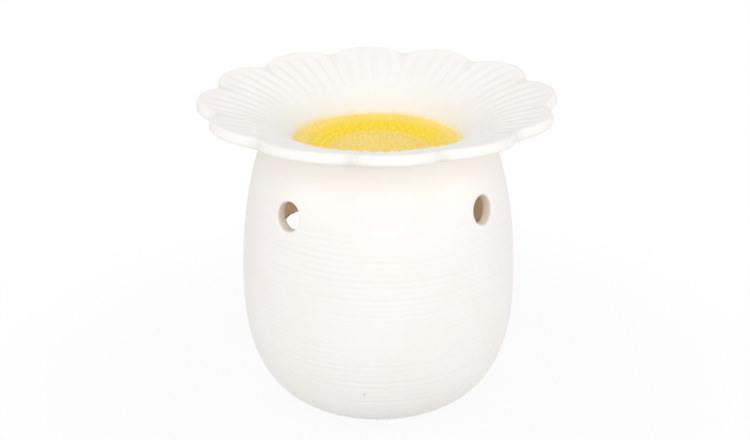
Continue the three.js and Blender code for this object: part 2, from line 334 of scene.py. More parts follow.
def vent_place(turn):
    """Points of a level bore towards the axis, in the wall at this angle from the front."""
    out = np.array([math.sin(turn), -math.cos(turn), 0])
    sideways = np.array([math.cos(turn), math.sin(turn), 0])
    upward = np.array([0, 0, 1])

    def place(across, height, share, depth):
        reach = np.sqrt(wall_radius(height, share) ** 2 - across ** 2) - depth
        return reach[:, None] * out + across[:, None] * sideways + height[:, None] * upward
    return place


def door_place(across, height, share, depth):
    """Points of the doorway, whose outline is drawn along the girth at the back."""
    turn = across / BELLY_RADIUS
    reach = wall_radius(height, share) - depth
    return np.column_stack([-reach * np.sin(turn), reach * np.cos(turn), height])


def cut(piece, cutter):
    """Takes the cutter's shape out of a piece."""
    saw = piece.modifiers.new("cut", "BOOLEAN")
    saw.operation = "DIFFERENCE"
    saw.solver = "EXACT"
    saw.object = cutter
    cut_piece = piece.evaluated_get(bpy.context.evaluated_depsgraph_get())
    piece.data = bpy.data.meshes.new_from_object(cut_piece)
    piece.modifiers.clear()
    bpy.data.objects.remove(cutter)


vent_outline = rounded_outline(
    VENT_RADIUS,
    VENT_HEIGHT - VENT_RADIUS,
    VENT_HEIGHT + VENT_RADIUS,
    VENT_RADIUS,
    VENT_RADIUS,
    VENT_ROWS,
)
for side in (1, -1):
    vent = vent_place(side * VENT_TURN)
    cut(pot, hole_cutter(vent_outline, vent, INNER_ROUNDING, VENT_REACH, VENT_REACH))
door_outline = rounded_outline(
    DOOR_ARC / 2, POT_FLOOR, DOOR_TOP, DOOR_SILL_CORNER, DOOR_TOP_CORNER, DOOR_ROWS
)
over_sill = (POT_FLOOR, POT_FLOOR + 2 * DOOR_SILL_CORNER)
door_rounding = np.interp(door_outline[:, 1], over_sill, (SILL_ROUNDING, INNER_ROUNDING))
cut(pot, hole_cutter(door_outline, door_place, door_rounding, DOOR_REACH_OUT, DOOR_REACH_IN))
pot.data.set_sharp_from_angle(angle=SHARP_EDGE)

spots = np.array([vertex.co for vertex in pot.data.vertices])
under_face = wall_radius(spots[:, 2], 0) - np.hypot(spots[:, 0], spots[:, 1])
mark(pot.data, "bare", np.interp(under_face, GLAZE_REACH, (0, 1)))


class Shade:
    """The output of a material's node. Arithmetic on it adds Math nodes."""

    def __init__(self, tree, output=None):
        self.tree = tree
        self.output = output

    def node(self, kind, settings, sockets, output=0):
        """Adds a node of this kind: its settings first, then the values or links of its sockets."""
        made = self.tree.nodes.new("ShaderNode" + kind)
        for name, value in settings.items():
            setattr(made, name, value)
        for name, value in sockets.items():
            if isinstance(value, Shade):
                self.tree.links.new(value.output, made.inputs[name])
            else:
                made.inputs[name].default_value = value
        return Shade(self.tree, made.outputs[output])

    def math(self, operation, *values):
        return self.node("Math", {"operation": operation}, dict(enumerate(values)))

    def __add__(self, other):
        return self.math("ADD", self, other)

    def __radd__(self, other):
        return self.math("ADD", other, self)

    def __sub__(self, other):
        return self.math("SUBTRACT", self, other)

    def __rsub__(self, other):
        return self.math("SUBTRACT", other, self)

    def __mul__(self, other):
        return self.math("MULTIPLY", self, other)

    def __rmul__(self, other):
        return self.math("MULTIPLY", other, self)

    def step(self, low, high):
        """0 where this value is under low, 1 where it is over high, and smooth between them."""
        sockets = {"Value": self, "From Min": low, "From Max": high}
        return self.node("MapRange", {"interpolation_type": "SMOOTHSTEP"}, sockets)

    def mix(self, low, high):
        """A colour from low to high, by this value."""
        return self.node("Mix", {"data_type": "RGBA"}, {0: self, 6: low, 7: high}, 2)

    def noise(self, scale, detail=2.0):
        """Soft noise over this position, 0 to 1."""
        return self.node("TexNoise", {}, {"Vector": self, "Scale": scale, "Detail": detail})

    def along(self, axis):
        """This position's X, Y or Z."""
        return self.node("SeparateXYZ", {}, {"Vector": self}, axis)

    def scaled(self, factors):
        """This position with each of its three parts times its own factor."""
        return self.node("VectorMath", {"operation": "MULTIPLY"}, {0: self, 1: factors})

    def distance(self, point):
        """How far this position is from a point."""
        return self.node("VectorMath", {"operation": "DISTANCE"}, {0: self, 1: point}, "Value")

    def marked(self, label):
        """The piece's own mark of this name."""
        return self.node("Attribute", {"attribute_name": label}, {}, "Fac")

    def feed(self, socket):
        self.tree.links.new(self.output, socket)


def paint(rgb):
    """A screen colour, 0 to 255, as the light that the shaders work in."""
    return (*Color([level / 255 for level in rgb]).from_srgb_to_scene_linear(), 1)


def new_finish(name, **constants):
    """A material with its shader, and the place on the piece that its pattern follows."""
    material = bpy.data.materials.new(name)
    material.use_nodes = True
    tree = material.node_tree
    shader = tree.nodes["Principled BSDF"]
    for socket, value in constants.items():
        shader.inputs[socket.replace("_", " ")].default_value = value
    place = Shade(tree).node("TexCoord", {}, {}, "Object")
    return material, shader, place


def bumped(shader, height, distance):
    """Turns a height, 0 to 1, into fine relief of that real depth."""
    height.node("Bump", {}, {"Height": height, "Distance": distance}).feed(shader.inputs["Normal"])


def white_glaze(name):
    """Satin ivory glaze over cream clay: clouded a little, warmer where it pools, and thinning out to
    the clay where a piece is marked as bare. Returns the material, its shader, the place, and the
    colour for a piece to add its own marks to."""
    material, shader, place = new_finish(name, Specular_IOR_Level=0.3, Coat_Roughness=0.3)
    clouds = place.noise(CLOUD_SCALE, 3)
    sand = place.noise(SAND_SCALE, 3)
    pool = place.marked("pooled")
    bare = place.marked("bare")
    warmth = clouds.step(0.35, 0.75) * 0.35 + pool * 0.5
    glaze = warmth.mix(paint(IVORY), paint(WARM_IVORY))
    clay = sand.step(0.3, 0.7).mix(paint(DARK_CLAY), paint(CLAY))
    (0.4 + clouds * 0.1 - pool * 0.05 + bare * 0.45).feed(shader.inputs["Roughness"])
    ((0.06 + clouds * 0.08) * (1 - bare)).feed(shader.inputs["Coat Weight"])
    bumped(shader, place.noise(GLAZE_SKIN_SCALE, 1.5) + bare * sand * 2, GLAZE_SKIN_RELIEF)
    return material, shader, place, bare.mix(glaze, clay)


def dressed(piece, material, body, node):
    """Gives a piece its finish, and its place in the frame."""
    piece.data.materials.clear()
    piece.data.materials.append(material)
    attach(piece, body)
    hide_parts(node)


pot_material, pot_shader, pot_place, pot_colour = white_glaze("pot_glaze")
# The colour is tinted warmer and darker towards the neck, under the dish's lip.
neck_tint = pot_place.along("Z").step(*NECK_TINT_SPAN)
pot_colour = (neck_tint * 0.4).mix(pot_colour, paint(NECK_TINT))
pinhole = 1 - pot_place.distance(PINHOLE).step(*PINHOLE_EDGE)
pot_colour = (pinhole * 0.5).mix(pot_colour, paint(IRON_SPECK))
pot_colour.feed(pot_shader.inputs["Base Color"])
dressed(pot, pot_material, "pot", "burner_body")

# Dish. A daisy of twelve ribbed petals round a bowl, pressed from one sheet of clay over a mould and
# glazed white, with notches that stray from even places; a grey shade is painted on the lip at each
# notch. Under it a short bare spigot drops into the pot's neck, and its collar sits on the rim.
PETALS = 12
FLOWER_RADIUS = 65.2 * MM
PETAL_TURN = math.radians(-1.4)
PETAL_NOTCH = 4.9 * MM
PETAL_SQUARENESS = 2.4
PETAL_ROUNDING = 1.15
NOTCH_SOFTNESS = 0.03
NOTCH_DRIFT = np.radians([4.3, 1.1, 2.2, 1.3, 2.6, 2.6, 1.3, 0, 0, -1, 0, 0])
RIBS_PER_PETAL = 5
RIB_DEPTH = 0.4 * MM
RIB_SHARPNESS = 1.5
RIBS_START = (0, 0.1)
RIBS_END = (0.28, 0.74)
LIP_HALF = 1.95 * MM
LIP_SQUARENESS = 3
LIP_RISE = 9.5 * MM
LIP_SLOPE = 0.27
PETAL_SLOPE = 0.21
PETAL_RUN = 0.47
UNDERSIDE_RUN = 0.45
COLLAR_RADIUS = NECK_RADIUS + 0.8 * MM
COLLAR_SWEEP = np.array([1.5, 2.5]) * MM
SPIGOT_RADIUS = NECK_RADIUS - POT_WALL - 0.6 * MM
SPIGOT_LAND = 2 * MM
BOWL_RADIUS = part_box("centre_glaze")[1].x + 0.3 * MM
BOWL_EDGE = np.array([BOWL_RADIUS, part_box("centre_glaze")[1].z])
BOWL_FLARE = np.array([4, 8.5]) * MM
BOWL_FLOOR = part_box("centre_glaze")[0].z
BOWL_FLOOR_RADIUS = BOWL_RADIUS - 8.5 * MM
BOWL_SEAT = 0.8 * MM
DISH_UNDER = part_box("flower_dish")[0].z

COLUMNS_PER_PETAL = 48
LIP_POINTS = 23
UNDERSIDE_STEPS = 28
PETAL_STEPS = 44
BOWL_STEPS = 20

PALE_GOLD = (252, 230, 108)
NOTCH_SHADE = (242, 238, 232)
NOTCH_SHADE_ROWS = (4, 8)
NOTCH_SHADE_REACH = (0.028, 0.168)
YELLOW_MIDDLE = Vector((-0.4, -0.45, 0)) * MM
YELLOW_FADE = (BOWL_RADIUS - 1.05 * MM, BOWL_RADIUS + 1.4 * MM)
YELLOW_WAVER = 1.0 * MM
WAVER_SCALE = 160

dish_columns = PETALS * COLUMNS_PER_PETAL
column = np.arange(dish_columns)
dish_turn = 2 * np.pi * (column - COLUMNS_PER_PETAL / 2) / dish_columns - np.pi / 2 + PETAL_TURN
dish_turn = dish_turn + np.interp(column / COLUMNS_PER_PETAL, range(PETALS), NOTCH_DRIFT, period=PETALS)
across_petal = 2 * (column % COLUMNS_PER_PETAL) / COLUMNS_PER_PETAL - 1
from_notch = np.hypot(1 - np.abs(across_petal), NOTCH_SOFTNESS) - NOTCH_SOFTNESS
petal_reach = (1 - (1 - from_notch) ** PETAL_SQUARENESS) ** PETAL_ROUNDING
inset = PETAL_NOTCH * (1 - petal_reach)
tilt = math.atan(LIP_SLOPE)
lip_middle = np.column_stack([
    FLOWER_RADIUS - LIP_HALF - inset,
    SEAT_HEIGHT + LIP_RISE - LIP_SLOPE * inset,
])


def lip_points(turn):
    """Points of the lip at these angles round its section, a soft square, for every column."""
    circle = np.stack([np.cos(turn), np.sin(turn)])
    out, up = np.sign(circle) * np.abs(circle) ** (2 / LIP_SQUARENESS)
    section = np.column_stack([
        out * math.cos(tilt) - up * math.sin(tilt),
        out * math.sin(tilt) + up * math.cos(tilt),
    ])
    return lip_middle + LIP_HALF * section[:, None]


def along_lip(start, end, share, slope):
    """A point that leaves the lip at this slope, a share of the way towards the middle."""
    run = share * (end[0] - start[:, 0])
    return start + run[:, None] * np.array([1, slope])


def dish_ring(*corners):
    """Straight runs of rows from corner to corner, the same in every column."""
    runs = [straight(start, end, EDGE_ROWS)[:-1] for start, end in zip(corners, corners[1:])]
    return every_column(np.concatenate(runs), dish_columns)


lip_low, lip_high = lip_points(np.radians([-90, 90]))
lip_round = lip_points(np.radians(np.linspace(-90, 90, LIP_POINTS)))[1:-1]
collar = np.array([COLLAR_RADIUS, SEAT_HEIGHT])
underside = bezier([
    collar,
    collar + COLLAR_SWEEP,
    along_lip(lip_low, collar, UNDERSIDE_RUN, LIP_SLOPE),
    lip_low,
], UNDERSIDE_STEPS)
petals = bezier([
    lip_high,
    along_lip(lip_high, BOWL_EDGE, PETAL_RUN, PETAL_SLOPE),
    BOWL_EDGE + BOWL_FLARE,
    BOWL_EDGE,
], PETAL_STEPS)
rib_phase = RIBS_PER_PETAL * (across_petal + 1) / 2
rib_groove = (0.5 + 0.5 * np.cos(2 * np.pi * rib_phase)) ** RIB_SHARPNESS
inward = np.linspace(0, 1, len(petals))[:, None]
rib_fade = np.interp(inward, RIBS_START, (0, 1)) * np.interp(inward, RIBS_END, (1, 0))
rib_fade = rib_fade ** 2 * (3 - 2 * rib_fade)
rib_depth = rib_fade * rib_groove
petals[..., 1] -= RIB_DEPTH * rib_depth
bowl_under = bezier([
    (BOWL_FLOOR_RADIUS, DISH_UNDER),
    ((BOWL_RADIUS + SPIGOT_RADIUS) / 2, DISH_UNDER),
    (SPIGOT_RADIUS, SEAT_HEIGHT - SPIGOT_LAND),
], BOWL_STEPS)
# The flat underside and the bowl under the glaze keep only some of their rows.
dish_rows = [
    dish_ring((0, DISH_UNDER), (BOWL_FLOOR_RADIUS, DISH_UNDER))[::6],
    every_column(bowl_under, dish_columns),
    dish_ring((SPIGOT_RADIUS, SEAT_HEIGHT - SPIGOT_LAND), (SPIGOT_RADIUS, SEAT_HEIGHT), collar)[1:],
    underside,
    lip_round,
    petals,
    dish_ring(
        BOWL_EDGE,
        BOWL_EDGE - (0, BOWL_SEAT),
        (BOWL_FLOOR_RADIUS, BOWL_FLOOR),
        (0, BOWL_FLOOR),
    )[1::3],
]
dish_profile = softened(np.concatenate(dish_rows), 2)
bowl_start, _, spigot_end, lip_start, lip_end, petals_end, _ = np.cumsum([*map(len, dish_rows)])
dish_pooled = np.zeros(dish_profile.shape[:2])
dish_pooled[lip_end:petals_end] = rib_depth
dish_bare = np.zeros(dish_profile.shape[:2])
dish_bare[bowl_start + len(bowl_under) // 2:spigot_end] = 1
# The painted notch shade: on the lip's rows, fading out from each notch.
dish_row = np.arange(len(dish_profile))[:, None]
lip_fade = (lip_start - NOTCH_SHADE_ROWS[0], lip_start, lip_end, lip_end + NOTCH_SHADE_ROWS[1])
dish_notch_shade = np.interp(dish_row, lip_fade, (0, 1, 1, 0)) * np.interp(from_notch, NOTCH_SHADE_REACH, (1, 0))
dish_marks = {"pooled": dish_pooled, "bare": dish_bare, "notch": dish_notch_shade}
cap_rows = ((1, 1), (0, 0))
dish = skinned(
    "daisy_dish",
    [capped(around(dish_profile, dish_turn))],
    {label: np.pad(numbers, cap_rows) for label, numbers in dish_marks.items()},
)


def from_upright(place, middle):
    """How far a place is from the upright line through a middle, which lies at height 0."""
    return place.scaled((1, 1, 0)).distance(middle)


def yellow_share(place):
    """How far the yellow glaze covers the white: 1 in the bowl, 0 outside, with a soft uneven edge. It
    was poured a little to one side."""
    waver = (place.noise(WAVER_SCALE) - 0.5) * YELLOW_WAVER
    return 1 - (from_upright(place, YELLOW_MIDDLE) + waver).step(*YELLOW_FADE)


dish_material, dish_shader, dish_place, dish_colour = white_glaze("dish_glaze")
# A grey shade painted on the lip at each notch, where shade falls between the petals.
dish_colour = dish_place.marked("notch").mix(dish_colour, paint(NOTCH_SHADE))
on_top = dish_place.along("Z").step(BOWL_FLOOR, BOWL_EDGE[1])
dish_colour = (yellow_share(dish_place) * on_top).mix(dish_colour, paint(PALE_GOLD))
dish_colour.feed(dish_shader.inputs["Base Color"])
dressed(dish, dish_material, "dish", "flower_dish")

# Flower centre. A thick pool of glossy yellow glaze, run into the bowl and fired on. It has settled
# over rows of beads in the clay: two bold rows round a low disc of small ones, and two drowned ones.
# The bold rows carry a painted highlight: deeper gold towards the back, and paler yellow bead tops.
GLAZE_EDGE = BOWL_RADIUS - 0.05 * MM
POOL_HEIGHT = BOWL_FLOOR + 1.8 * MM
DISC_RADIUS = 16 * MM
DISC_RISE = 0.7 * MM
LARGE_BEADS = {20.2 * MM: 0.75 * MM, 23.0 * MM: 0.75 * MM, 26.0 * MM: 0.22 * MM, 28.3 * MM: 0.12 * MM}
LARGE_PITCH = 3.45 * MM
LARGE_RISE = 0.75 * MM
SMALL_PITCH = 2.3 * MM
SMALL_RISE = 0.42 * MM
BEAD_REACH = 0.56
GLAZE_COLUMNS = 288
GLAZE_ROWS = 0.33 * MM
POOL_STEPS = 60

GOLDEN = (255, 223, 106)
DEEP_GOLD = (255, 221, 4)
BEAD_HIGHLIGHT_YELLOW = (255, 233, 44)
STRAW = (255, 227, 120)
AMBER = (254, 211, 66)
RUN_SCALE = 220
RUN_WIDTH = 2.2 * MM
DISC_FADE = (DISC_RADIUS - 2 * MM, DISC_RADIUS + 2 * MM)
ROWS_START = (17 * MM, 19.5 * MM)
ROWS_END = (24.5 * MM, 28.5 * MM)
VALLEYS_END = (25 * MM, 28 * MM)
BACK_HIGHLIGHT_FADE = (-6 * MM, 14 * MM)
THICK_SCALE = 120
SHEEN_SCALE = 400
GLOSS_SCALE = 600
GLOSS_RELIEF = 0.03 * MM


def bead_row(radius, pitch, rise, shift):
    """The middles of the beads in one row, with their reach and rise."""
    count = max(1, round(2 * math.pi * radius / pitch))
    turn = 2 * np.pi * (np.arange(count) + shift) / count
    middle = np.column_stack([radius * np.cos(turn), radius * np.sin(turn)])
    return [(x, y, pitch * BEAD_REACH, rise) for x, y in middle]


beads = []
for number, (radius, rise) in enumerate(LARGE_BEADS.items()):
    beads += bead_row(radius, LARGE_PITCH, rise, 0.5 * number)
for number in range(round(DISC_RADIUS / SMALL_PITCH)):
    beads += bead_row(number * SMALL_PITCH, SMALL_PITCH, SMALL_RISE, 0.5 * number)

pool_top = evenly(np.concatenate([
    bezier([
        (GLAZE_EDGE, BOWL_EDGE[1]),
        (BOWL_FLOOR_RADIUS, POOL_HEIGHT),
        (DISC_RADIUS, POOL_HEIGHT),
    ], POOL_STEPS),
    bezier([
        (DISC_RADIUS, POOL_HEIGHT),
        (DISC_RADIUS - DISC_RISE, POOL_HEIGHT + DISC_RISE),
        (0, POOL_HEIGHT + DISC_RISE),
    ], POOL_STEPS)[1:],
]), GLAZE_ROWS)
glaze_turn = full_turn(GLAZE_COLUMNS)
pool_points = around(pool_top[:, None], glaze_turn)
relief = np.zeros(pool_points.shape[:2])
for x, y, reach, rise in beads:
    distance = np.hypot(pool_points[..., 0] - x, pool_points[..., 1] - y) / reach
    dome = np.cos(np.clip(distance, 0, 1) * np.pi / 2) ** 2
    relief = np.maximum(relief, rise * dome)
pool_points[..., 2] += relief
pool_under = around(np.array([
    (0, BOWL_FLOOR),
    (BOWL_FLOOR_RADIUS, BOWL_FLOOR),
    (GLAZE_EDGE, BOWL_EDGE[1] - BOWL_SEAT),
])[:, None], glaze_turn)
beading = np.concatenate([np.zeros(pool_under.shape[:2]), relief / LARGE_RISE])
centre = skinned(
    "yellow_centre", [np.concatenate([pool_under, pool_points])], {"beading": beading}
)

centre_material, centre_shader, centre_place = new_finish(
    "yellow_glaze", Specular_IOR_Level=0.2, Coat_Weight=0.06, Coat_Roughness=0.08
)
runs = (centre_place.noise(RUN_SCALE, 2) - 0.5) * RUN_WIDTH
from_middle = from_upright(centre_place, (0, 0, 0)) + runs
on_disc = 1 - from_middle.step(*DISC_FADE)
on_rows = from_middle.step(*ROWS_START) * (1 - from_middle.step(*ROWS_END))
# Painted highlight: the rows' deep gold is stronger towards the back.
back_highlight = centre_place.along("Y").step(*BACK_HIGHLIGHT_FADE)
bead = centre_place.marked("beading")
deep_gold_and_back_highlight = on_rows * (0.2 + back_highlight * 0.8)
yellow = on_disc.mix(paint(GOLDEN), paint(STRAW))
yellow = deep_gold_and_back_highlight.mix(yellow, paint(DEEP_GOLD))
# Painted highlight on the bead tops of the bold rows.
yellow = (deep_gold_and_back_highlight * bead.step(0.2, 0.8)).mix(yellow, paint(BEAD_HIGHLIGHT_YELLOW))
valley = (1 - bead.step(0.02, 0.5)) * (1 - from_middle.step(*VALLEYS_END))
thick = valley * (0.38 - deep_gold_and_back_highlight * 0.2) + centre_place.noise(THICK_SCALE, 3).step(0.45, 0.75) * 0.15
yellow = thick.mix(yellow, paint(AMBER))
yellow_share(centre_place).mix(paint(IVORY), yellow).feed(centre_shader.inputs["Base Color"])
(0.22 + centre_place.noise(SHEEN_SCALE) * 0.1).feed(centre_shader.inputs["Roughness"])
bumped(centre_shader, centre_place.noise(GLOSS_SCALE, 2), GLOSS_RELIEF)
dressed(centre, centre_material, "dish", "centre_glaze")

# Tealight cup. A shallow cup drawn from thin aluminium sheet, with the fine upright creases that
# drawing leaves in its side, a pressed ring in its floor and a bead rolled round its rim.
CUP_LOW, CUP_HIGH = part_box("tealight_cup")
CUP_RADIUS = CUP_HIGH.x
CUP_SHEET = 0.35 * MM
CUP_BEND = 1.2 * MM
RIM_BEAD = 0.45 * MM
RIM_TURN = (-70, 250)
RIM_POINTS = 17
PRESSED_RING = 9.6 * MM
PRESSED_HALF = 0.6 * MM
PRESSED_RISE = 0.5 * MM
CREASES = 60
CREASE_DEPTH = 0.09 * MM
CREASE_FADE = 2 * MM
CUP_COLUMNS = 360
CUP_ROWS = 0.7 * MM
CUP_FLOOR_ROWS = 1 * MM
BEND_STEPS = 6

FOIL = (222, 223, 225)
FOIL_SHADE = (190, 192, 196)
DRAWN_STRETCH = (1, 1, 0.12)
DRAWN_SCALE = 1800
DRAWN_RELIEF = 0.02 * MM

bead_middle = np.array([CUP_RADIUS - CUP_SHEET / 2, CUP_HIGH.z - RIM_BEAD])
bead_turn = np.radians(np.linspace(*RIM_TURN, RIM_POINTS))
rim_bead = bead_middle + RIM_BEAD * np.column_stack([np.cos(bead_turn), np.sin(bead_turn)])
cup_inner = CUP_RADIUS - CUP_SHEET
cup_floor = CUP_LOW.z + CUP_SHEET
ring_start = (PRESSED_RING - PRESSED_HALF, CUP_LOW.z)
ring_end = (PRESSED_RING + PRESSED_HALF, CUP_LOW.z)
cup_path = np.concatenate([
    straight((0, CUP_LOW.z), ring_start, CUP_FLOOR_ROWS),
    bezier([ring_start, (PRESSED_RING, CUP_LOW.z + PRESSED_RISE), ring_end], BEND_STEPS)[1:],
    straight(ring_end, (CUP_RADIUS - CUP_BEND, CUP_LOW.z), CUP_FLOOR_ROWS)[1:],
    bezier([
        (CUP_RADIUS - CUP_BEND, CUP_LOW.z),
        (CUP_RADIUS, CUP_LOW.z),
        (CUP_RADIUS, CUP_LOW.z + CUP_BEND),
    ], BEND_STEPS)[1:],
    straight((CUP_RADIUS, CUP_LOW.z + CUP_BEND), rim_bead[0], CUP_ROWS)[1:-1],
    rim_bead,
    straight(rim_bead[-1], (cup_inner, cup_floor + CUP_BEND), CUP_ROWS)[1:],
    bezier([
        (cup_inner, cup_floor + CUP_BEND),
        (cup_inner, cup_floor),
        (cup_inner - CUP_BEND, cup_floor),
    ], BEND_STEPS)[1:],
    straight((cup_inner - CUP_BEND, cup_floor), (0, cup_floor), CUP_FLOOR_ROWS)[1:],
])
cup_turn = full_turn(CUP_COLUMNS)
side_low = CUP_LOW.z + CUP_BEND
side_high = CUP_HIGH.z - 2 * RIM_BEAD
side_fade = (side_low, side_low + CREASE_FADE, side_high - CREASE_FADE, side_high)
on_side = np.interp(cup_path[:, 1], side_fade, (0, 1, 1, 0)) * (cup_path[:, 0] > cup_inner - WELD)
uneven = 1.1 * np.sin(7 * cup_turn) + 0.7 * np.sin(3 * cup_turn)
creases = 0.5 + 0.5 * np.cos(CREASES * cup_turn + uneven)
cup_profile = every_column(cup_path, CUP_COLUMNS).copy()
cup_profile[..., 0] -= CREASE_DEPTH * on_side[:, None] * creases
cup = skinned("tealight_cup_foil", [around(cup_profile, cup_turn)])

cup_material, cup_shader, cup_place = new_finish("aluminium_foil", Metallic=1.0)
draw_marks = cup_place.scaled(DRAWN_STRETCH).noise(DRAWN_SCALE, 3)
draw_marks.step(0.25, 0.8).mix(paint(FOIL_SHADE), paint(FOIL)).feed(cup_shader.inputs["Base Color"])
(0.22 + draw_marks * 0.2).feed(cup_shader.inputs["Roughness"])
bumped(cup_shader, draw_marks, DRAWN_RELIEF)
dressed(cup, cup_material, "tealight", "tealight_cup")

# Wax. White paraffin poured into the cup round the wick. It has shrunk a little as it set, so its
# top is dished and creeps up the foil and the wick, and its skin is faintly frosted.
WAX_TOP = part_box("tealight_wax")[1].z
WAX_RADIUS = cup_inner - 0.04 * MM
WAX_GAP = 0.02 * MM
WICK_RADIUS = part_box("wick")[1].x
WAX_BORE = WICK_RADIUS + 0.12 * MM
WAX_CREEP = 0.7 * MM
CREEP_RUN = 4 * MM
CREEP_BEND = 0.6 * MM
DISHED = np.array([(5, -0.5), (2.2, -0.4)]) * MM
DISC_POCKET = 7.3 * MM
DISC_ROOF = 0.8 * MM
CRIMP_POCKET = 2.3 * MM
CRIMP_ROOF = 6.3 * MM
WAX_COLUMNS = 96
WAX_ROWS = 2 * MM
POCKET_ROWS = 1 * MM
WAX_BEND_STEPS = 5
CREEP_STEPS = 10
DISHED_STEPS = 24

PARAFFIN = (246, 243, 234)
PARAFFIN_DEEP = (236, 230, 214)
FROST_SCALE = 260
GRAIN_SCALE = 1500
FROST_RELIEF = 0.06 * MM

wax_base = cup_floor + WAX_GAP
crept = WAX_TOP + WAX_CREEP
disc_roof = wax_base + DISC_ROOF
crimp_roof = wax_base + CRIMP_ROOF
wax_section = np.concatenate([
    straight((DISC_POCKET, wax_base), (WAX_RADIUS - CUP_BEND, wax_base), WAX_ROWS),
    bezier([
        (WAX_RADIUS - CUP_BEND, wax_base),
        (WAX_RADIUS, wax_base),
        (WAX_RADIUS, wax_base + CUP_BEND),
    ], WAX_BEND_STEPS)[1:],
    straight((WAX_RADIUS, wax_base + CUP_BEND), (WAX_RADIUS, crept), WAX_ROWS)[1:],
    bezier([
        (WAX_RADIUS, crept),
        (WAX_RADIUS - CREEP_BEND, WAX_TOP),
        (WAX_RADIUS - CREEP_RUN, WAX_TOP),
    ], CREEP_STEPS)[1:],
    bezier([
        (WAX_RADIUS - CREEP_RUN, WAX_TOP),
        *(DISHED + (0, WAX_TOP)),
        (WAX_BORE, crept),
    ], DISHED_STEPS)[1:],
    straight((WAX_BORE, crept), (WAX_BORE, crimp_roof), WAX_ROWS)[1:],
    straight((WAX_BORE, crimp_roof), (CRIMP_POCKET, crimp_roof), POCKET_ROWS)[1:],
    straight((CRIMP_POCKET, crimp_roof), (CRIMP_POCKET, disc_roof), WAX_ROWS)[1:],
    straight((CRIMP_POCKET, disc_roof), (DISC_POCKET, disc_roof), POCKET_ROWS)[1:],
    straight((DISC_POCKET, disc_roof), (DISC_POCKET, wax_base), POCKET_ROWS)[1:],
])
wax = skinned("paraffin_fill", [around(wax_section[:, None], full_turn(WAX_COLUMNS))])

wax_material, wax_shader, wax_place = new_finish(
    "paraffin_wax", IOR=1.43, Subsurface_Weight=0.35, Subsurface_Radius=(0.004, 0.003, 0.002)
)
frost = wax_place.noise(FROST_SCALE, 4)
frost.step(0.3, 0.7).mix(paint(PARAFFIN_DEEP), paint(PARAFFIN)).feed(wax_shader.inputs["Base Color"])
(0.42 + frost * 0.2).feed(wax_shader.inputs["Roughness"])
bumped(wax_shader, frost + wax_place.noise(GRAIN_SCALE) * 0.3, FROST_RELIEF)
dressed(wax, wax_material, "tealight", "tealight_wax")

# Wick sustainer. A small tinplate disc, pressed with a stiffening ring, whose middle is drawn up
# into a neck and crimped on the wick. It stands on the cup's floor, under the wax.
DISC_LOW, DISC_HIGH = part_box("wick_sustainer")
TIN_SHEET = 0.5 * MM
STIFFENER_RADIUS = 4.6 * MM
STIFFENER_WIDTH = 0.7 * MM
STIFFENER_RISE = 0.2 * MM
CRIMP_RADIUS = 2.0 * MM
CRIMP_BORE = WICK_RADIUS + 0.15 * MM
CRIMP_DENTS = 4
DENT_DEPTH = 0.3 * MM
DENT_DROP = 2.2 * MM
DENT_HEIGHT = 0.9 * MM
TIN_COLUMNS = 96
TIN_ROWS = 0.4 * MM
TIN_EDGE_ROWS = 0.12 * MM

TINPLATE = (196, 198, 200)
TINPLATE_DULL = (168, 168, 166)
TIN_SCALE = 900
TIN_RELIEF = 0.02 * MM

disc_top = DISC_LOW.z + TIN_SHEET
tin_path = np.concatenate([
    straight((CRIMP_BORE, DISC_LOW.z), (DISC_HIGH.x, DISC_LOW.z), TIN_ROWS),
    straight((DISC_HIGH.x, DISC_LOW.z), (DISC_HIGH.x, disc_top), TIN_EDGE_ROWS)[1:],
    straight((DISC_HIGH.x, disc_top), (CRIMP_RADIUS, disc_top), TIN_ROWS)[1:],
    straight((CRIMP_RADIUS, disc_top), (CRIMP_RADIUS, DISC_HIGH.z), TIN_ROWS)[1:],
    straight((CRIMP_RADIUS, DISC_HIGH.z), (CRIMP_BORE, DISC_HIGH.z), TIN_EDGE_ROWS)[1:],
    straight((CRIMP_BORE, DISC_HIGH.z), (CRIMP_BORE, DISC_LOW.z), TIN_ROWS)[1:],
])
tin_turn = full_turn(TIN_COLUMNS)
tin_radius, tin_height = tin_path.T
stiffened = np.exp(-((tin_radius - STIFFENER_RADIUS) / STIFFENER_WIDTH) ** 2) * (tin_height >= disc_top)
crimped = np.exp(-((tin_height - DISC_HIGH.z + DENT_DROP) / DENT_HEIGHT) ** 2)
crimped = crimped * (tin_radius > CRIMP_BORE + DENT_DEPTH) * (tin_radius <= CRIMP_RADIUS)
dents = 0.5 + 0.5 * np.cos(CRIMP_DENTS * tin_turn)
tin_profile = every_column(tin_path, TIN_COLUMNS).copy()
tin_profile[..., 0] -= DENT_DEPTH * crimped[:, None] * dents
tin_profile[..., 1] += STIFFENER_RISE * stiffened[:, None]
sustainer = skinned("tinplate_sustainer", [around(tin_profile, tin_turn)])

tin_material, tin_shader, tin_place = new_finish("tinplate", Metallic=1.0)
grain = tin_place.noise(TIN_SCALE, 3)
grain.mix(paint(TINPLATE_DULL), paint(TINPLATE)).feed(tin_shader.inputs["Base Color"])
(0.28 + grain * 0.15).feed(tin_shader.inputs["Roughness"])
bumped(tin_shader, grain, TIN_RELIEF)
dressed(sustainer, tin_material, "tealight", "wick_sustainer")

# Wick. Three cotton strands plaited together and dipped in wax. It runs from the cup's floor up
# through the sustainer's neck and stands a few millimetres above the wax.
WICK_LOW, WICK_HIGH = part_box("wick")
WICK_START = WICK_LOW.z + 0.1 * MM
STRANDS = 3
STRAND_RADIUS = 0.42 * MM
STRAND_FACETS = 14
STRAND_ROWS = 160
FIBRE_LOBES = 3
FIBRE_SWELL = 0.1
TWIST_PITCH = 1.1 * MM
PLAIT_PITCH = 3.4 * MM
PLAIT_WIDTH = 0.48 * MM
PLAIT_DEPTH = 0.3 * MM
TIP_LEAN = 0.7 * MM

COTTON = (240, 234, 220)
COTTON_SHADE = (214, 202, 178)
FIBRE_SCALE = 3200
FIBRE_RELIEF = 0.08 * MM

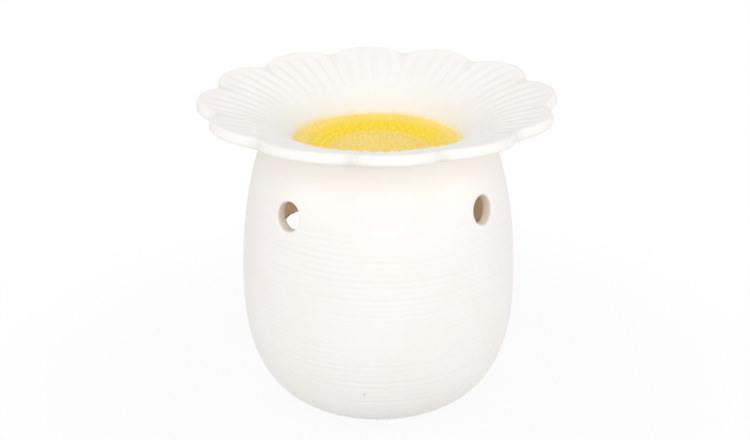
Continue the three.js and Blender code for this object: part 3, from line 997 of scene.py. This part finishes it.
wick_height = np.linspace(WICK_START, WICK_HIGH.z, STRAND_ROWS)
lean = TIP_LEAN * np.interp(wick_height, (WAX_TOP, WICK_HIGH.z), (0, 1)) ** 2
facet = full_turn(STRAND_FACETS)
strands = []
for number in range(STRANDS):
    phase = 2 * np.pi * (wick_height / PLAIT_PITCH + number / STRANDS)
    twist = facet + 2 * np.pi * wick_height[:, None] / TWIST_PITCH
    fibre = STRAND_RADIUS * (1 + FIBRE_SWELL * np.cos(FIBRE_LOBES * twist))
    strand = np.stack([
        (PLAIT_WIDTH * np.sin(phase) + lean)[:, None] + fibre * np.cos(facet),
        (PLAIT_DEPTH * np.sin(2 * phase))[:, None] + fibre * np.sin(facet),
        np.broadcast_to(wick_height[:, None], fibre.shape),
    ], axis=-1)
    strands.append(capped(strand))
wick = skinned("plaited_wick", strands)

wick_material, wick_shader, wick_place = new_finish("cotton", Sheen_Weight=0.3, Sheen_Roughness=0.5)
fibres = wick_place.noise(FIBRE_SCALE, 3)
fibres.step(0.3, 0.75).mix(paint(COTTON_SHADE), paint(COTTON)).feed(wick_shader.inputs["Base Color"])
(0.7 + fibres * 0.25).feed(wick_shader.inputs["Roughness"])
bumped(wick_shader, fibres, FIBRE_RELIEF)
dressed(wick, wick_material, "tealight", "wick")

# Studio. A white floor that fades into a white surround, broad soft lamps all round, a narrow one that
# shines in at the doorway, and the camera where the photograph was taken from, above the front.
FLOOR_RADIUS = 3.0
FLOOR_SIDES = 96
FLOOR_GREY = (0.72, 0.72, 0.72, 1)
SHADOW_REACH = (0.07, 0.2)
SHADOW_SHARE = 0.08
SURROUND_LIGHT = 0.4
WHITE = (1, 1, 1, 1)
DOORWAY_AIM = Vector((0, 0, 0.03))
VIEW_AIM = Vector((-1.239, 0.0746, 67.65)) * MM
VIEW_TURN = math.radians(-4.545)
VIEW_TILT = math.radians(23.35)
VIEW_ROLL = math.radians(-0.25)
VIEW_DISTANCE = 468 * MM
VIEW_LENS = 59.724
VIEW_START = 10 * MM
SENSOR_WIDTH = 36


def seen_directly(tree):
    """1 for the rays that show the surround itself: the camera's, and those off gloss or through glass."""
    rays = ("Is Camera Ray", "Is Glossy Ray", "Is Transmission Ray")
    camera_ray, glossy_ray, glass_ray = (Shade(tree).node("LightPath", {}, {}, ray) for ray in rays)
    return glass_ray.math("MAXIMUM", camera_ray.math("MAXIMUM", camera_ray, glossy_ray), glass_ray)


floor_turn = full_turn(FLOOR_SIDES)
floor_rim = np.column_stack([np.cos(floor_turn), np.sin(floor_turn), 0 * floor_turn]) * FLOOR_RADIUS
floor_mesh = bpy.data.meshes.new("floor")
floor_mesh.from_pydata(floor_rim.tolist(), [], [list(range(FLOOR_SIDES))])
floor = bpy.data.objects.new("floor", floor_mesh)
bpy.context.scene.collection.objects.link(floor)
floor_material, floor_shader, floor_place = new_finish(
    "white_floor", Base_Color=FLOOR_GREY, Roughness=0.9, Specular_IOR_Level=0.1
)
floor_tree = floor_material.node_tree
near = 1 - floor_place.distance((0, 0, 0)).step(*SHADOW_REACH)
plain_white = 1 - near * SHADOW_SHARE
floor_mix = floor_place.node("MixShader", {}, {
    0: seen_directly(floor_tree) * plain_white,
    1: Shade(floor_tree, floor_shader.outputs["BSDF"]),
    2: floor_place.node("Emission", {}, {"Color": WHITE, "Strength": 1.0}),
})
floor_mix.feed(floor_tree.nodes["Material Output"].inputs["Surface"])
floor.data.materials.append(floor_material)

world = bpy.data.worlds.new("white_surround")
world.use_nodes = True
bpy.context.scene.world = world
surround = world.node_tree.nodes["Background"]
surround.inputs["Color"].default_value = WHITE
surround_strength = SURROUND_LIGHT + seen_directly(world.node_tree) * (1 - SURROUND_LIGHT)
surround_strength.feed(surround.inputs["Strength"])


def soft_lamp(name, place, size, power, aim=VIEW_AIM, spread=180):
    """A round or oval lamp at a place in metres, with its width and height, and its power in watts."""
    light = bpy.data.lights.new(name, "AREA")
    light.shape = "ELLIPSE"
    light.size, light.size_y = size
    light.spread = math.radians(spread)
    light.energy = power
    lamp = bpy.data.objects.new(name, light)
    lamp.location = place
    lamp.visible_camera = False
    lamp.rotation_euler = (aim - Vector(place)).to_track_quat("-Z", "Y").to_euler()
    bpy.context.scene.collection.objects.link(lamp)


soft_lamp("front_lamp", (-0.08, -1.25, 0.62), (0.9, 0.9), 5.8)
soft_lamp("left_lamp", (-1.15, -0.55, 0.3), (0.9, 0.5), 2.4)
soft_lamp("right_lamp", (1.15, -0.55, 0.3), (0.9, 0.5), 3.5)
soft_lamp("high_left_lamp", (-0.95, -0.45, 0.85), (0.9, 0.9), 2.0)
soft_lamp("high_right_lamp", (0.95, -0.45, 0.85), (0.9, 0.9), 1.2)
soft_lamp("top_lamp", (0.0, 0.1, 1.4), (1.1, 1.1), 2.5)
soft_lamp("back_lamp", (0.0, 0.9, 1.1), (1.0, 1.0), 2.4)
soft_lamp("doorway_lamp", (0.0, 0.5, 0.09), (0.12, 0.05), 0.012, DOORWAY_AIM, 6)

camera = bpy.data.objects.new("camera", bpy.data.cameras.new("camera"))
camera.data.sensor_width = SENSOR_WIDTH
camera.data.lens = VIEW_LENS
camera.data.clip_start = VIEW_START
towards_camera = Vector((
    math.sin(VIEW_TURN) * math.cos(VIEW_TILT),
    -math.cos(VIEW_TURN) * math.cos(VIEW_TILT),
    math.sin(VIEW_TILT),
))
camera.location = VIEW_AIM + VIEW_DISTANCE * towards_camera
level_view = towards_camera.to_track_quat("Z", "Y")
camera.rotation_euler = (level_view @ Quaternion((0, 0, 1), VIEW_ROLL)).to_euler()
bpy.context.scene.collection.objects.link(camera)
bpy.context.scene.camera = camera
bpy.context.scene.view_settings.view_transform = "Standard"
